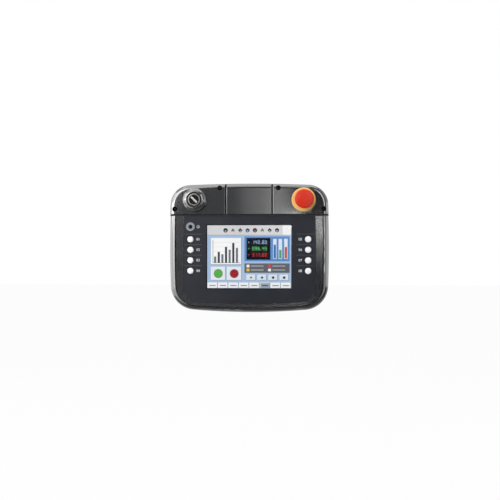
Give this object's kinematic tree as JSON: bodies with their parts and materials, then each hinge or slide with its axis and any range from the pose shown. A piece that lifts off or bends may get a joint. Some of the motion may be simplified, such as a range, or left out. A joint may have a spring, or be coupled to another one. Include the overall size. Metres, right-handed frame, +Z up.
{
  "type": "operator panel",
  "caption": "Hand-held operator panel with touch display, function keys, selector switch and emergency stop, rounded two-shell case and a rear bolt pattern for a bracket.",
  "frame": {"origin": "centre of the square bolt pattern on the flat back of the hump, at mid width and mid height", "axes": "+X to the right seen from the front, +Z up, +Y out of the back; the display faces -Y"},
  "size_m": [0.217, 0.0805, 0.175],
  "materials": {
    "case_plastic": "fine moulded texture, dark grey",
    "cover_plastic": "fine moulded texture, dark grey",
    "sheet_film": "smooth bluish-black film",
    "key_white": "satin white",
    "touch_glass": "clear glass",
    "lcd_glass": "lit display",
    "sheet_steel": "plain sheet",
    "black_steel": "black screws",
    "zinc_steel": "zinc-plated",
    "aluminium": "satin",
    "brass": "turned",
    "black_plastic": "moulded black",
    "grey_plastic": "moulded grey",
    "white_plastic": "moulded white",
    "dark_lens": "smoked lens",
    "black_rubber": "moulded rubber",
    "grey_foam": "closed-cell foam",
    "circuit_board": "green solder mask",
    "stop_red": "gloss red",
    "stop_yellow": "satin yellow",
    "chrome_ring": "bright"
  },
  "bodies": {
    "root": {"rear_case": "case_plastic", "front_case": "case_plastic", "case_seal": "black_rubber", "case_screws": "zinc_steel", "display_bezel": "case_plastic", "front_sheet": "sheet_film", "left_switch_cover": "cover_plastic", "centre_cover": "cover_plastic", "right_switch_cover": "cover_plastic", "cover_gaskets": "grey_foam", "cover_screws": "black_steel", "touch_panel": "touch_glass", "display_gasket": "grey_foam", "lcd_panel": "lcd_glass", "lcd_frame": "sheet_steel", "backlight_unit": "white_plastic", "chassis_plate": "sheet_steel", "frame_screws": "zinc_steel", "board_standoffs": "brass", "main_board": "circuit_board", "board_components": "black_plastic", "processor_cooler": "aluminium", "backup_battery": "sheet_steel", "buzzer": "black_plastic", "key_boards": "circuit_board", "tact_switches": "black_plastic", "power_lamp_ring": "grey_plastic", "power_lamp_lens": "dark_lens", "power_led": "white_plastic", "estop_collar": "stop_yellow", "estop_barrel": "black_plastic", "estop_locknut": "zinc_steel", "estop_contact_block": "black_plastic", "estop_spring": "zinc_steel", "selector_bezel": "chrome_ring", "selector_locknut": "zinc_steel", "selector_contact_block": "black_plastic", "enable_frame": "black_plastic", "enable_contact_block": "grey_plastic", "gland_body": "black_plastic", "gland_nut": "black_plastic", "gland_seal": "black_rubber", "gland_locknut": "black_plastic", "mount_inserts": "brass"},
    "estop_stem": {"estop_plunger": "black_plastic"},
    "estop_head": {"estop_mushroom": "stop_red"},
    "selector": {"selector_knob": "black_plastic", "selector_pointer": "white_plastic", "selector_shaft": "zinc_steel"},
    "enable_switch": {"enable_button": "black_rubber", "enable_plunger": "white_plastic"},
    "function_key_1": {"function_key_1": "key_white"},
    "function_key_2": {"function_key_2": "key_white"},
    "function_key_3": {"function_key_3": "key_white"},
    "function_key_4": {"function_key_4": "key_white"},
    "function_key_5": {"function_key_5": "key_white"},
    "function_key_6": {"function_key_6": "key_white"},
    "function_key_7": {"function_key_7": "key_white"},
    "function_key_8": {"function_key_8": "key_white"}
  },
  "joints": [
    {"name": "estop_push", "type": "slide", "parent": "root", "child": "estop_stem", "axis": [0, 1, 0], "range_m": [0, 0.004], "deforming": ["estop_spring"]},
    {"name": "estop_turn", "type": "hinge", "parent": "estop_stem", "child": "estop_head", "pos_m": [0.0736, -0.075, 0.065], "axis": [0, 1, 0], "range_deg": [0, 45], "stiffness_Nm_per_rad": 0.15},
    {"name": "selector_turn", "type": "hinge", "parent": "root", "child": "selector", "pos_m": [-0.0736, -0.065, 0.065], "axis": [0, 1, 0], "range_deg": [0, 90]},
    {"name": "enable_press", "type": "slide", "parent": "root", "child": "enable_switch", "axis": [0, -1, 0], "range_m": [0, 0.005], "stiffness_N_per_m": 2000},
    {"name": "function_key_1_press", "type": "slide", "parent": "root", "child": "function_key_1", "axis": [0, 1, 0], "range_m": [0, 0.0008], "stiffness_N_per_m": 1500},
    {"name": "function_key_2_press", "type": "slide", "parent": "root", "child": "function_key_2", "axis": [0, 1, 0], "range_m": [0, 0.0008], "stiffness_N_per_m": 1500},
    {"name": "function_key_3_press", "type": "slide", "parent": "root", "child": "function_key_3", "axis": [0, 1, 0], "range_m": [0, 0.0008], "stiffness_N_per_m": 1500},
    {"name": "function_key_4_press", "type": "slide", "parent": "root", "child": "function_key_4", "axis": [0, 1, 0], "range_m": [0, 0.0008], "stiffness_N_per_m": 1500},
    {"name": "function_key_5_press", "type": "slide", "parent": "root", "child": "function_key_5", "axis": [0, 1, 0], "range_m": [0, 0.0008], "stiffness_N_per_m": 1500},
    {"name": "function_key_6_press", "type": "slide", "parent": "root", "child": "function_key_6", "axis": [0, 1, 0], "range_m": [0, 0.0008], "stiffness_N_per_m": 1500},
    {"name": "function_key_7_press", "type": "slide", "parent": "root", "child": "function_key_7", "axis": [0, 1, 0], "range_m": [0, 0.0008], "stiffness_N_per_m": 1500},
    {"name": "function_key_8_press", "type": "slide", "parent": "root", "child": "function_key_8", "axis": [0, 1, 0], "range_m": [0, 0.0008], "stiffness_N_per_m": 1500}
  ]
}
